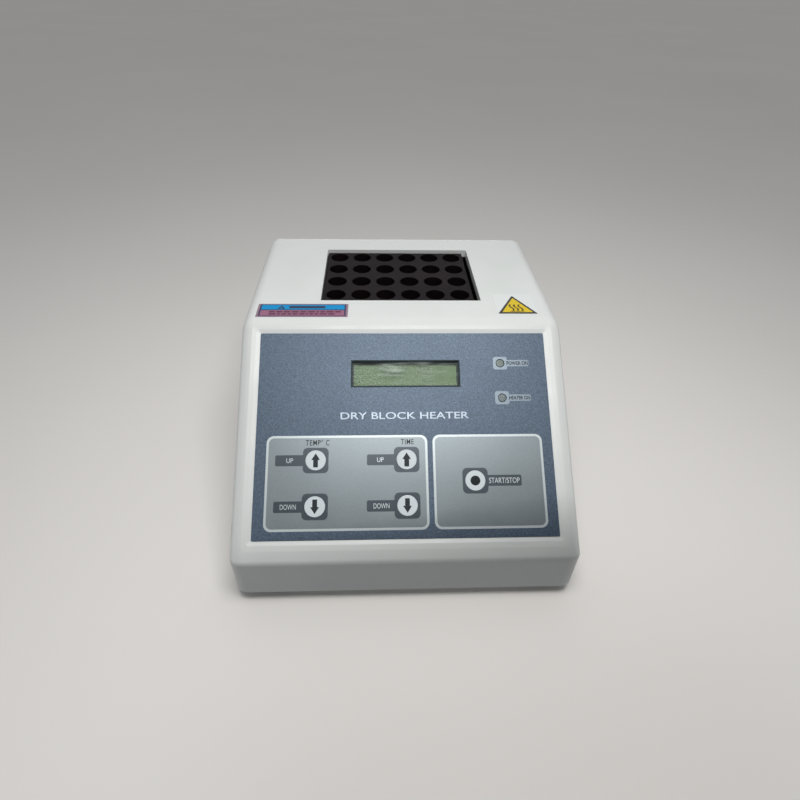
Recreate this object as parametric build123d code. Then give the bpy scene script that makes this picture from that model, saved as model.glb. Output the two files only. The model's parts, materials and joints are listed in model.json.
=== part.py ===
"""Dry block heater: a bench heater with a lift-out aluminium block of tube wells.

Millimetres, +Z up, +Y towards the back. The origin is the bottom centre of the whole
object's box, on the surface that the feet stand on.
"""

from build123d import *
from math import cos, radians, sin, tan
import os

# ---------------------------------------------------------------- driving dimensions
CASE_WIDTH = 192.0
TOP_DEPTH = 122.5  # flat top, from the crease to the back wall
SLOPE_ANGLE = 36.0  # of the front panel, below the horizontal
SLOPE_LENGTH = 138.2
FRONT_HEIGHT = 26.3  # front wall, up to where the sloping panel meets it
WALL = 3.2
EDGE_RADIUS = 8.0
CREASE_RADIUS = 15.0
FRONT_EDGE_RADIUS = 3.4
RIM_HEIGHT = 8.0  # of the case's lower rim above the table
REAR_PROUD = 4.4  # how far the power rocker's raised end stands behind the case

LABEL_WIDTH, LABEL_LENGTH = 167.3, 117.9
LABEL_START = 8.05  # down the slope from the crease
LABEL_RECESS = 0.9
LABEL_THICKNESS = 0.6
LABEL_BEVEL = [(-0.25, 2.6), (0.15, 7.4)]  # height and distance from the label, going outwards

DISPLAY_X, DISPLAY_D = 0.9, 32.9
DISPLAY_WIDTH, DISPLAY_LENGTH = 62.0, 15.0

KEY_RADIUS = 5.65
KEY_TRAVEL = 0.5
KEY_GAP = 0.15
KEYS = {
    "temp_up": (-50.1, 83.1),
    "temp_down": (-50.1, 108.4),
    "time_up": (0.45, 83.1),
    "time_down": (0.45, 108.4),
    "start_stop": (38.5, 95.3),
}
LAMPS = {"power_lamp": (56.6, 26.8), "heater_lamp": (56.6, 47.8)}
LAMP_RADIUS, LAMP_GAP, LAMP_EDGE = 2.5, 0.1, 0.5

WELL_X, WELL_BACK = -0.25, 60.85  # centre of the opening, behind the crease
WELL_WIDTH, WELL_DEPTH = 101.0, 74.0
LIP_DEPTH, LIP_WALL = 5.0, 2.6
BLOCK_X, BLOCK_BACK = -1.75, 61.0
BLOCK_WIDTH, BLOCK_DEPTH, BLOCK_HEIGHT = 97.0, 70.0, 50.0
BLOCK_SUNK = 1.5
TUBE_COLUMNS, TUBE_ROWS = 6, 4
TUBE_PITCH_X, TUBE_PITCH_Y = 16.0, 18.0
TUBE_RADIUS, TUBE_DEPTH = 6.25, 43.0

# ---------------------------------------------------------------- worked-out places
CASE_DEPTH = SLOPE_LENGTH * cos(radians(SLOPE_ANGLE)) + TOP_DEPTH
FRONT_Y = -(CASE_DEPTH + REAR_PROUD) / 2
REAR_Y = FRONT_Y + CASE_DEPTH
CREASE_Y = REAR_Y - TOP_DEPTH
TOP_Z = RIM_HEIGHT + FRONT_HEIGHT + SLOPE_LENGTH * sin(radians(SLOPE_ANGLE))
HALF_WIDTH = CASE_WIDTH / 2
INNER_TOP_Z = TOP_Z - WALL
WELL_Y = CREASE_Y + WELL_BACK
BLOCK_Y = CREASE_Y + BLOCK_BACK
BLOCK_TOP_Z = TOP_Z - BLOCK_SUNK
BLOCK_BOTTOM_Z = BLOCK_TOP_Z - BLOCK_HEIGHT
LABEL_D = LABEL_START + LABEL_LENGTH / 2

# Sloping panel: x across, minus y down the slope, z out of the panel, all from the crease
SLOPE = Location(Plane(
    origin=(0, CREASE_Y, TOP_Z),
    x_dir=(1, 0, 0),
    z_dir=(0, -sin(radians(SLOPE_ANGLE)), cos(radians(SLOPE_ANGLE))),
))

# Heights out of the sloping panel's plane, from its surface inwards
FLOOR_H = -LABEL_RECESS
OVERLAY_H = FLOOR_H + LABEL_THICKNESS
PANEL_H = -WALL
KEY_TOP_H = OVERLAY_H + 0.35
KEY_DISC_H = KEY_TOP_H - 1.65
KEY_SEAT_H = KEY_DISC_H - KEY_TRAVEL - 0.4
KEY_BOSS_H = -5.5
STEM_END_H = -7.0
SWITCH_TOP_H = -8.5
BOARD_TOP_H = -12.0
BOARD_THICKNESS = 1.6
BOARD_BACK_H = BOARD_TOP_H - BOARD_THICKNESS
PANE_THICKNESS, PANE_GAP = 0.8, 0.2
PANE_WIDTH, PANE_LENGTH = 66.8, 19.8
WINDOW_STEP = 0.8  # the case's window is this much larger than the film's, on each side
LCD_BOARD_H = -8.6

STEM_RADIUS = 2.0
SCREW_RADIUS = 1.5
PILOT_RADIUS = 1.55
CLEAR_RADIUS = 1.7

LOW = (Align.CENTER, Align.CENTER, Align.MIN)

PARTS = {}


# ---------------------------------------------------------------- helpers
def box(x, y, z):
    """A block between (low, high) pairs along each axis."""
    size = [high - low for low, high in (x, y, z)]
    centre = [(low + high) / 2 for low, high in (x, y, z)]
    return Pos(*centre) * Box(*size)


def centred_box(x, y, width, depth, z_low, z_high):
    return Pos(x, y, z_low) * Box(width, depth, z_high - z_low, align=LOW)


def post(x, y, radius, z_low, z_high):
    return Pos(x, y, z_low) * Cylinder(radius, z_high - z_low, align=LOW)


def slope_post(x, d, radius, h_low, h_high):
    return SLOPE * post(x, -d, radius, h_low, h_high)


def slope_box(x, d, width, length, h_low, h_high):
    return SLOPE * centred_box(x, -d, width, length, h_low, h_high)


def rod_y(x, z, radius, y_low, y_high):
    return Pos(x, y_low, z) * Rot(-90, 0, 0) * Cylinder(radius, y_high - y_low, align=LOW)


def rounded_slab(x, y, width, depth, corner, z_low, z_high):
    outline = Pos(x, y, z_low) * RectangleRounded(width, depth, corner)
    return extrude(outline, amount=z_high - z_low)


def corners(half_x, half_y, x=0.0, y=0.0):
    return [(x + sx * half_x, y + sy * half_y) for sx in (-1, 1) for sy in (-1, 1)]


def pan_screw(length, radius=SCREW_RADIUS, head_radius=2.8, head=1.8):
    """Head below z = 0, shank upwards, cross slot in the head."""
    screw = post(0, 0, head_radius, -head, 0) + post(0, 0, radius, 0, length)
    screw = fillet(screw.edges().group_by(Axis.Z)[0], 0.6)
    for turn in (0, 90):
        screw -= Rot(0, 0, turn) * centred_box(0, 0, 3.2, 0.7, -head - 1, -head + 0.8)
    return screw


def wire(radius, *points):
    """A lead through three or more points, with a round bend at each one between."""
    bends = []
    vectors = [Vector(*p) for p in points]
    for before, at, after in zip(vectors, vectors[1:], vectors[2:]):
        run_in, run_out = at - before, after - at
        half_turn = radians(run_in.get_angle(run_out)) / 2
        bends.append(0.45 * min(run_in.length, run_out.length) / tan(half_turn))
    path = FilletPolyline(*points, radius=bends)
    start = Plane(origin=path @ 0, z_dir=path % 0)
    return sweep(start * Circle(radius), path=path)


def group(*solids):
    """Separate solids that share one node."""
    return Compound([solid for piece in solids for solid in piece.solids()])


def add(name, *solids):
    PARTS[name] = group(*solids)


# ---------------------------------------------------------------- case
def profile_block(inset):
    """The case's outline shrunk by inset on every face but the bottom, with round edges."""
    angle = radians(SLOPE_ANGLE)
    front, rear, top = FRONT_Y + inset, REAR_Y - inset, TOP_Z - inset
    crease_y = CREASE_Y + inset * (1 - cos(angle)) / sin(angle)
    front_top = top - (crease_y - front) * tan(angle)
    bottom = RIM_HEIGHT - 2 * inset
    outline = Polyline(
        (front, bottom), (front, front_top), (crease_y, top), (rear, top), (rear, bottom),
        close=True,
    )
    half = HALF_WIDTH - inset
    solid = Pos(-half, 0, 0) * extrude(Plane.YZ * make_face(outline), amount=2 * half)

    def across(y, z):
        return [e for e in solid.edges().filter_by(Axis.X)
                if abs(e.center().Y - y) < 0.1 and abs(e.center().Z - z) < 0.1]

    solid = fillet(across(crease_y, top), CREASE_RADIUS - inset)
    sides = [e for e in solid.edges()
             if abs(abs(e.center().X) - half) < 0.001 and e.center().Z > bottom + 0.001]
    solid = fillet(sides + across(rear, top), EDGE_RADIUS - inset)
    return fillet(across(front, front_top), FRONT_EDGE_RADIUS - inset)


def label_recess():
    """The shallow pocket that the printed panel lies in, its bevel easing out into the case."""
    corner = 0.6
    outlines = []
    for height, spread in ((FLOOR_H, 0.0), *LABEL_BEVEL):
        outlines.append(SLOPE * Pos(0, -LABEL_D, height) * RectangleRounded(
            LABEL_WIDTH + 2 * spread, LABEL_LENGTH + 2 * spread, corner + spread / 2))
    return loft(outlines, ruled=True)


TRAY_BOSS_RADIUS, BOARD_BOSS_RADIUS, LCD_BOSS_RADIUS, KEY_BOSS_RADIUS = 3.5, 3.5, 2.6, 7.6
BASE_BOSS_RADIUS, BASE_BOSS_HEIGHT, BASE_PILOT_DEPTH = 5.0, 14.0, 11.0
PANEL_BOSS_RADIUS, PANEL_BOSS_DEPTH, PANEL_PILOT_DEPTH = 3.3, 9.0, 8.0
LCD_PILOT_RADIUS = 1.05
OVERLAP = 1.0  # a boss starts, and a cut runs on, this far past the face that it meets

BOARD_BOSSES = [(x, d) for x in (-62.0, 62.0) for d in (37.0, 113.0)]
LCD_BOSSES = [(DISPLAY_X + x, DISPLAY_D + d) for x in (-37.3, 37.3) for d in (-15.3, 15.3)]
TRAY_BOSSES = corners(54.8, 41.25, WELL_X, WELL_Y)
BASE_BOSSES = [(sx * 88.0, y) for sx in (-1, 1) for y in (FRONT_Y + 9, -20.0, REAR_Y - 9)]
FEET = [(sx * 76.0, y) for sx in (-1, 1) for y in (FRONT_Y + 20, REAR_Y - 20)]

LIP_BOTTOM_Z = TOP_Z - LIP_DEPTH
GASKET = 1.5
TRAY_TOP_Z = LIP_BOTTOM_Z - GASKET
TRAY_GAP = 0.3  # the tray stands this far back from the opening's edges
TRAY_WALL, TRAY_FLOOR, TRAY_FLANGE = 1.5, 8.0, 7.0
TRAY_FLANGE_THICKNESS = 1.5
TRAY_BOTTOM_Z = BLOCK_BOTTOM_Z - TRAY_FLOOR
TRAY_SCREW, TRAY_PILOT_Z = 5.5, TOP_Z - 2.0  # length, and the end of its blind hole
MAT_THICKNESS = 1.6
JACKET_BOTTOM_Z, JACKET_WALL = 44.0, 7.5

PANEL_X, PANEL_Z = 35.0, 29.0  # steel panel in the back wall
PANEL_WIDTH, PANEL_HEIGHT, PANEL_THICKNESS = 104.0, 36.0, 1.5
PANEL_WINDOW = (90.0, 29.0)
PANEL_SCREWS = [(PANEL_X + x, PANEL_Z + z) for x, z in corners(48.5, 11.0)]
INLET_X, ROCKER_X = 55.0, 8.0

BASE_Z, BASE_THICKNESS = 9.0, 1.5
BASE_TOP_Z = BASE_Z + BASE_THICKNESS


def top_case():
    case = profile_block(0.0) - profile_block(WALL)
    # bosses and the well's lip, cut off by the inside of the walls
    extras = centred_box(WELL_X, WELL_Y, WELL_WIDTH + 2 * LIP_WALL, WELL_DEPTH + 2 * LIP_WALL,
                         LIP_BOTTOM_Z, INNER_TOP_Z + OVERLAP)
    for x, y in TRAY_BOSSES:
        extras += post(x, y, TRAY_BOSS_RADIUS, TRAY_TOP_Z, INNER_TOP_Z + OVERLAP)
    for x, y in BASE_BOSSES:
        extras += post(x, y, BASE_BOSS_RADIUS, BASE_TOP_Z, BASE_TOP_Z + BASE_BOSS_HEIGHT)
    for x, d in BOARD_BOSSES:
        extras += slope_post(x, d, BOARD_BOSS_RADIUS, BOARD_TOP_H, PANEL_H + OVERLAP)
    for x, d in LCD_BOSSES:
        extras += slope_post(x, d, LCD_BOSS_RADIUS, LCD_BOARD_H, PANEL_H + OVERLAP)
    for x, d in KEYS.values():
        extras += slope_post(x, d, KEY_BOSS_RADIUS, KEY_BOSS_H, PANEL_H + OVERLAP)
    for x, z in PANEL_SCREWS:
        extras += rod_y(x, z, PANEL_BOSS_RADIUS, REAR_Y - PANEL_BOSS_DEPTH, REAR_Y - WALL + OVERLAP)
    case += extras & profile_block(WALL - 0.5)

    case -= label_recess()
    case -= centred_box(WELL_X, WELL_Y, WELL_WIDTH, WELL_DEPTH, TRAY_TOP_Z - OVERLAP, TOP_Z + OVERLAP)
    for x, y in TRAY_BOSSES:
        case -= post(x, y, PILOT_RADIUS, TRAY_TOP_Z - OVERLAP, TRAY_PILOT_Z)
    for x, y in BASE_BOSSES:
        case -= post(x, y, PILOT_RADIUS, BASE_TOP_Z - OVERLAP, BASE_TOP_Z + BASE_PILOT_DEPTH)
    for x, d in BOARD_BOSSES:
        case -= slope_post(x, d, PILOT_RADIUS, BOARD_TOP_H - OVERLAP, PANEL_H - 1)
    for x, d in LCD_BOSSES:
        case -= slope_post(x, d, LCD_PILOT_RADIUS, LCD_BOARD_H - OVERLAP, PANEL_H - 0.6)
    for x, d in KEYS.values():
        case -= slope_post(x, d, KEY_RADIUS + 0.4, KEY_SEAT_H, OVERLAP)
        case -= slope_post(x, d, STEM_RADIUS + 0.2, KEY_BOSS_H - OVERLAP, OVERLAP)
    for x, d in LAMPS.values():
        case -= slope_post(x, d, LAMP_RADIUS + 2 * LAMP_GAP, PANEL_H - OVERLAP, OVERLAP)
    case -= slope_box(DISPLAY_X, DISPLAY_D, PANE_WIDTH + PANE_GAP, PANE_LENGTH + PANE_GAP,
                      FLOOR_H - PANE_THICKNESS, OVERLAP)
    case -= slope_box(DISPLAY_X, DISPLAY_D, DISPLAY_WIDTH + 2 * WINDOW_STEP,
                      DISPLAY_LENGTH + 2 * WINDOW_STEP, PANEL_H - OVERLAP, OVERLAP)

    pocket = (PANEL_WIDTH + 0.4, PANEL_HEIGHT + 0.4)
    for (width, height), depth in ((pocket, PANEL_THICKNESS), (PANEL_WINDOW, WALL + 1)):
        case -= box((PANEL_X - width / 2, PANEL_X + width / 2), (REAR_Y - depth, REAR_Y + 1),
                    (PANEL_Z - height / 2, PANEL_Z + height / 2))
    for x, z in PANEL_SCREWS:
        case -= rod_y(x, z, PILOT_RADIUS, REAR_Y - PANEL_PILOT_DEPTH, REAR_Y)
    return case


def base_plate():
    width, depth = CASE_WIDTH - 2 * WALL - 0.6, CASE_DEPTH - 2 * WALL - 0.6
    middle = (FRONT_Y + REAR_Y) / 2
    plate = rounded_slab(0, middle, width, depth, 4.5, BASE_Z, BASE_TOP_Z)
    for x, y in BASE_BOSSES + FEET:
        plate -= post(x, y, CLEAR_RADIUS, BASE_Z - 1, BASE_TOP_Z + 1)
    slot = extrude(SlotOverall(30, 3), amount=BASE_THICKNESS + 2)
    for row in range(8):
        for x in (-38, 0, 38):
            plate -= Pos(x, -70 + 8 * row, BASE_Z - 1) * slot
    return plate


def foot():
    rubber = Cone(8.5, 9.5, BASE_Z, align=LOW)
    rubber = fillet(rubber.edges().group_by(Axis.Z)[0], 1.0)
    rubber -= post(0, 0, 4.0, -1, 4)
    return rubber - post(0, 0, CLEAR_RADIUS, 3, BASE_Z + 1)


def hex_nut():
    nut = extrude(RegularPolygon(3.1, 6), amount=2.4)
    return nut - post(0, 0, SCREW_RADIUS + 0.02, -1, 4)


# ---------------------------------------------------------------- front panel
def printed_panel():
    panel = SLOPE * Pos(0, -LABEL_D, FLOOR_H) * extrude(
        RectangleRounded(LABEL_WIDTH, LABEL_LENGTH, 0.5), amount=LABEL_THICKNESS)
    panel -= slope_box(DISPLAY_X, DISPLAY_D, DISPLAY_WIDTH, DISPLAY_LENGTH, FLOOR_H - 1, 1)
    for x, d in KEYS.values():
        panel -= slope_post(x, d, KEY_RADIUS + KEY_GAP, FLOOR_H - 1, 1)
    for x, d in LAMPS.values():
        panel -= slope_post(x, d, LAMP_RADIUS + LAMP_GAP, FLOOR_H - 1, 1)
    return panel


PLUNGER_RADIUS, PLUNGER_END_H = 1.75, -9.6


def key(x, d):
    """The printed cap with its stem, and the switch plunger that the stem stands on."""
    cap = post(0, 0, KEY_RADIUS, KEY_DISC_H, KEY_TOP_H)
    cap = fillet(cap.edges().group_by(Axis.Z)[-1], 0.3)
    cap += post(0, 0, STEM_RADIUS, STEM_END_H, KEY_DISC_H)
    return SLOPE * Pos(x, -d, 0) * cap, slope_post(x, d, PLUNGER_RADIUS, PLUNGER_END_H, STEM_END_H)


def key_switch(x, d):
    body = slope_box(x, d, 6.2, 6.2, BOARD_TOP_H, SWITCH_TOP_H)
    return body - slope_post(x, d, PLUNGER_RADIUS + 0.1, PLUNGER_END_H - 0.8, 0)


LAMP_FOOT_H, LAMP_RIM_H, LAMP_SUNK, LAMP_LEG_PITCH = -8.8, -8.0, 0.05, 2.54


def lamp(x, d):
    """A light-emitting diode whose flat-topped lens comes up level with the printed film."""
    lens = post(0, 0, LAMP_RADIUS, LAMP_RIM_H, OVERLAY_H - LAMP_SUNK)
    lens = fillet(lens.edges().group_by(Axis.Z)[-1], LAMP_EDGE)
    lens += post(0, 0, LAMP_RADIUS + 0.4, LAMP_FOOT_H, LAMP_FOOT_H + 1)
    for side in (-LAMP_LEG_PITCH / 2, LAMP_LEG_PITCH / 2):
        lens += centred_box(side, 0, 0.5, 0.5, BOARD_TOP_H, LAMP_FOOT_H + 0.3)
    return SLOPE * Pos(x, -d, 0) * lens


BEZEL_RIM_X, BEZEL_RIM_D = 0.9, 1.2  # how far the black bezel shows inside the window
BEZEL_FACE_H, BEZEL_SHEET, BEZEL_WRAP = -3.4, 0.5, 0.8
GLASS_WIDTH, GLASS_LENGTH, GLASS_THICKNESS, GLASS_GAP = 69.2, 22.2, 2.5, 0.4
LCD_BOARD_WIDTH, LCD_BOARD_LENGTH = 80.0, 36.0


def display_parts():
    at = (DISPLAY_X, DISPLAY_D)
    glass_h = BEZEL_FACE_H - BEZEL_SHEET
    light_h = glass_h - GLASS_THICKNESS
    inside = (GLASS_WIDTH + GLASS_GAP, GLASS_LENGTH + GLASS_GAP)
    outside = [size + 2 * BEZEL_WRAP for size in inside]
    add("display_window",
        slope_box(*at, PANE_WIDTH, PANE_LENGTH, FLOOR_H - PANE_THICKNESS, FLOOR_H))
    bezel = slope_box(*at, *outside, LCD_BOARD_H, BEZEL_FACE_H)
    bezel -= slope_box(*at, *inside, LCD_BOARD_H - OVERLAP, glass_h)
    bezel -= slope_box(*at, DISPLAY_WIDTH - 2 * BEZEL_RIM_X, DISPLAY_LENGTH - 2 * BEZEL_RIM_D,
                       glass_h - OVERLAP, 0)
    add("lcd_bezel", bezel)
    add("lcd_glass", slope_box(*at, GLASS_WIDTH, GLASS_LENGTH, light_h, glass_h))
    add("lcd_backlight", slope_box(*at, GLASS_WIDTH, GLASS_LENGTH, LCD_BOARD_H, light_h))
    back_h = LCD_BOARD_H - BOARD_THICKNESS
    board = slope_box(*at, LCD_BOARD_WIDTH, LCD_BOARD_LENGTH, back_h, LCD_BOARD_H)
    screws = []
    for x, d in LCD_BOSSES:
        board -= slope_post(x, d, 1.3, back_h - OVERLAP, LCD_BOARD_H + OVERLAP)
        screws.append(SLOPE * Pos(x, -d, back_h) * pan_screw(6, 1.0, 1.9, 1.3))
    add("lcd_board", board)
    add("lcd_screws", *screws)


CHIP_AT, BUZZER_AT, RIBBON_AT = (-20.0, 72.0), (30.0, 52.0), (-50.0, 60.0)


def control_board_parts():
    board = slope_box(0, 70, 134, 96, BOARD_BACK_H, BOARD_TOP_H)
    for x, d in BOARD_BOSSES:
        board -= slope_post(x, d, CLEAR_RADIUS, BOARD_BACK_H - 1, BOARD_TOP_H + 1)
    add("control_board", board)
    add("key_switches", *[key_switch(*at) for at in KEYS.values()])
    chip = slope_box(*CHIP_AT, 52, 13.6, BOARD_BACK_H - 4.2, BOARD_BACK_H)
    chip -= slope_post(CHIP_AT[0] - 26, CHIP_AT[1], 1.5, BOARD_BACK_H - 5, BOARD_BACK_H - 3.4)
    add("microcontroller", chip)
    buzzer = slope_post(*BUZZER_AT, 6, BOARD_BACK_H - 8, BOARD_BACK_H)
    buzzer -= slope_post(*BUZZER_AT, 1.2, BOARD_BACK_H - 9, BOARD_BACK_H - 6)
    add("buzzer", buzzer)


# ---------------------------------------------------------------- heated well
def heating_block():
    block = centred_box(BLOCK_X, BLOCK_Y, BLOCK_WIDTH, BLOCK_DEPTH, BLOCK_BOTTOM_Z, BLOCK_TOP_Z)
    block = chamfer(block.edges(), 0.5)
    taper = TUBE_RADIUS - 0.5
    drill = post(0, 0, TUBE_RADIUS, -TUBE_DEPTH + taper, 1)
    drill += Pos(0, 0, -TUBE_DEPTH) * Cone(0.6, TUBE_RADIUS, taper, align=LOW)
    for column in range(TUBE_COLUMNS):
        for row in range(TUBE_ROWS):
            x = BLOCK_X + (column - (TUBE_COLUMNS - 1) / 2) * TUBE_PITCH_X
            y = BLOCK_Y + (row - (TUBE_ROWS - 1) / 2) * TUBE_PITCH_Y
            block -= Pos(x, y, BLOCK_TOP_Z) * drill
    return block


def heated_tray():
    inner = (WELL_WIDTH + 2 * TRAY_GAP, WELL_DEPTH + 2 * TRAY_GAP)
    outer = [size + 2 * TRAY_WALL for size in inner]
    flange = [size + 2 * TRAY_FLANGE for size in outer]
    tray = centred_box(WELL_X, WELL_Y, *outer, TRAY_BOTTOM_Z, TRAY_TOP_Z)
    tray += centred_box(WELL_X, WELL_Y, *flange, TRAY_TOP_Z - TRAY_FLANGE_THICKNESS, TRAY_TOP_Z)
    tray -= centred_box(WELL_X, WELL_Y, *inner, BLOCK_BOTTOM_Z, TRAY_TOP_Z + 1)
    for x, y in TRAY_BOSSES:
        tray -= post(x, y, CLEAR_RADIUS, TRAY_TOP_Z - 3, TRAY_TOP_Z + 1)
    probe_z = TRAY_BOTTOM_Z + TRAY_FLOOR / 2
    tray -= Pos(WELL_X, WELL_Y, probe_z) * Rot(0, -90, 0) * Cylinder(2.1, 70, align=LOW)
    return tray


def tray_parts():
    add("heated_tray", heated_tray())
    gasket = centred_box(WELL_X, WELL_Y, WELL_WIDTH + 5, WELL_DEPTH + 5, TRAY_TOP_Z, LIP_BOTTOM_Z)
    gasket -= centred_box(WELL_X, WELL_Y, WELL_WIDTH, WELL_DEPTH, TRAY_TOP_Z - 1, TOP_Z)
    for x, y in TRAY_BOSSES:
        gasket -= post(x, y, 3.6, TRAY_TOP_Z - 1, TOP_Z)
    add("well_gasket", gasket)
    flange_z = TRAY_TOP_Z - TRAY_FLANGE_THICKNESS
    add("tray_screws", *[Pos(x, y, flange_z) * pan_screw(TRAY_SCREW) for x, y in TRAY_BOSSES])

    half_x = WELL_WIDTH / 2 + TRAY_GAP + TRAY_WALL + 0.2
    half_y = WELL_DEPTH / 2 + TRAY_GAP + TRAY_WALL + 0.2
    mat_z = TRAY_BOTTOM_Z - MAT_THICKNESS
    add("heater_mat", rounded_slab(WELL_X - 10, WELL_Y, 76, 64, 3, mat_z, TRAY_BOTTOM_Z))
    jacket = centred_box(WELL_X, WELL_Y, 2 * (half_x + JACKET_WALL), 2 * (half_y + JACKET_WALL),
                         JACKET_BOTTOM_Z, flange_z - 2.2)
    jacket -= centred_box(WELL_X, WELL_Y, 2 * half_x, 2 * half_y, mat_z - 0.2, TRAY_TOP_Z)
    jacket -= post(WELL_X + 40, WELL_Y, 9, JACKET_BOTTOM_Z - 1, TRAY_BOTTOM_Z)
    jacket -= box((WELL_X - 70, WELL_X - half_x + 1), (WELL_Y - 3, WELL_Y + 3),
                  (TRAY_BOTTOM_Z + 1, TRAY_BOTTOM_Z + 7))
    jacket -= post(WELL_X - 20, WELL_Y - 20, 4, JACKET_BOTTOM_Z - 1, TRAY_BOTTOM_Z)
    add("insulation_jacket", jacket)

    cutout = post(0, 0, 8, -7, 0) + centred_box(0, 0, 6, 3, -9, -7)
    add("thermal_cutout", Pos(WELL_X + 40, WELL_Y, TRAY_BOTTOM_Z) * cutout)
    probe_z = TRAY_BOTTOM_Z + TRAY_FLOOR / 2
    probe = Pos(WELL_X - 68, WELL_Y, probe_z) * Rot(0, 90, 0) * Cylinder(2.0, 60, align=LOW)
    add("temperature_probe", probe)


# ---------------------------------------------------------------- mains side
def rear_panel_parts():
    low_y, high_y = REAR_Y - PANEL_THICKNESS, REAR_Y
    panel = box((PANEL_X - PANEL_WIDTH / 2, PANEL_X + PANEL_WIDTH / 2), (low_y, high_y),
                (PANEL_Z - PANEL_HEIGHT / 2, PANEL_Z + PANEL_HEIGHT / 2))
    panel -= box((INLET_X - 14.2, INLET_X + 14.2), (low_y - 1, high_y + 1),
                 (PANEL_Z - 14.2, PANEL_Z + 14.2))
    panel -= box((ROCKER_X - 6.5, ROCKER_X + 6.5), (low_y - 1, high_y + 1),
                 (PANEL_Z - 9.6, PANEL_Z + 9.6))
    screws = []
    for x, z in PANEL_SCREWS:
        head = Pos(x, REAR_Y, z) * Rot(90, 0, 0) * Cone(2.8, 1.55, 1.5, align=LOW)
        panel -= head + rod_y(x, z, 1.6, low_y - 1, high_y)
        shank = head + rod_y(x, z, SCREW_RADIUS, REAR_Y - 7, REAR_Y - 1)
        for turn in (0, 90):
            shank -= Pos(x, REAR_Y, z) * Rot(0, turn, 0) * Box(3.0, 1.4, 0.7)
        screws.append(shank)
    for side in (-20, 20):
        panel -= rod_y(INLET_X + side, PANEL_Z, PILOT_RADIUS, low_y - 1, high_y + 1)
    add("rear_panel", panel)
    add("rear_panel_screws", *screws)


INLET_FLANGE = 2.2
SOCKET_Z = PANEL_Z + 4.5
SOCKET_WIDTH, SOCKET_HEIGHT, SOCKET_DEPTH = 24.4, 15.6, 17.0
DRAWER_Z, DRAWER_WIDTH, DRAWER_HEIGHT, DRAWER_DEPTH = PANEL_Z - 8.9, 12.0, 6.6, 22.5
PIN_PLACES = [(-7.0, -2.0), (0.0, 2.0), (7.0, -2.0)]


def inlet_parts():
    face = REAR_Y + INLET_FLANGE
    body = box((INLET_X - 14, INLET_X + 14), (face - 26.5, REAR_Y), (PANEL_Z - 14, PANEL_Z + 14))
    flange = Pos(INLET_X, REAR_Y, PANEL_Z) * extrude(
        Plane.XZ * RectangleRounded(50, 30.6, 4), amount=-INLET_FLANGE)
    flange = fillet(flange.faces().sort_by(Axis.Y)[-1].edges(), 0.5)
    body += flange
    mouth = box((INLET_X - SOCKET_WIDTH / 2, INLET_X + SOCKET_WIDTH / 2),
                (face - SOCKET_DEPTH, face + 1),
                (SOCKET_Z - SOCKET_HEIGHT / 2, SOCKET_Z + SOCKET_HEIGHT / 2))
    mouth = chamfer(mouth.edges().filter_by(Axis.Y).group_by(Axis.Z)[-1], 4.5)
    body -= mouth
    body -= box((INLET_X - DRAWER_WIDTH / 2, INLET_X + DRAWER_WIDTH / 2),
                (face - DRAWER_DEPTH - 0.3, face + 1),
                (DRAWER_Z - DRAWER_HEIGHT / 2, DRAWER_Z + DRAWER_HEIGHT / 2))
    pins, screws = [], []
    for x, z in PIN_PLACES:
        pin = box((INLET_X + x - 1, INLET_X + x + 1), (face - 32, face - 2.5),
                  (SOCKET_Z + z - 2, SOCKET_Z + z + 2))
        body -= pin
        tip = pin.edges().group_by(Axis.Y)[-1]
        pins.append(chamfer(tip, 0.6))
    for side in (-20, 20):
        hole = rod_y(INLET_X + side, PANEL_Z, CLEAR_RADIUS, REAR_Y - 1, face + 1)
        body -= hole
        screw = Pos(INLET_X + side, face, PANEL_Z) * Rot(90, 0, 0) * pan_screw(6, 1.5, 2.6, 1.2)
        screws.append(screw)
    add("power_inlet", body)
    add("inlet_pins", *pins)
    add("inlet_screws", *screws)

    gap = 0.25
    half_x, half_z = DRAWER_WIDTH / 2 - gap, DRAWER_HEIGHT / 2 - gap
    drawer = box((INLET_X - half_x, INLET_X + half_x), (face - DRAWER_DEPTH, face + 0.6),
                 (DRAWER_Z - half_z, DRAWER_Z + half_z))
    drawer -= box((INLET_X - 2.75, INLET_X + 2.75), (face - 21.6, face - 1.2),
                  (DRAWER_Z - half_z + 0.5, DRAWER_Z + half_z + 1))
    drawer -= box((INLET_X - 3, INLET_X + 3), (face - 0.3, face + 1),
                  (DRAWER_Z + half_z - 1.2, DRAWER_Z + half_z + 1))
    fuse_z = DRAWER_Z - half_z + 0.5 + 2.6
    fuse = rod_y(INLET_X, fuse_z, 2.3, face - 21.3, face - 1.5)
    for end in (face - 21.4, face - 6.6):
        fuse += rod_y(INLET_X, fuse_z, 2.6, end, end + 5)
    add("fuse_drawer", drawer)
    add("fuse", fuse)


ROCKER_FLANGE = 2.0
ROCKER_TILT, ROCKER_FACE_SLOPE = 10.0, 10.0
ROCKER_RADIUS, ROCKER_WIDTH = 8.2, 10.2
ROCKER_APEX = 3.0  # the shallow V of its face, out from the pivot
PIVOT_Y = REAR_Y - 1.0


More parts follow.
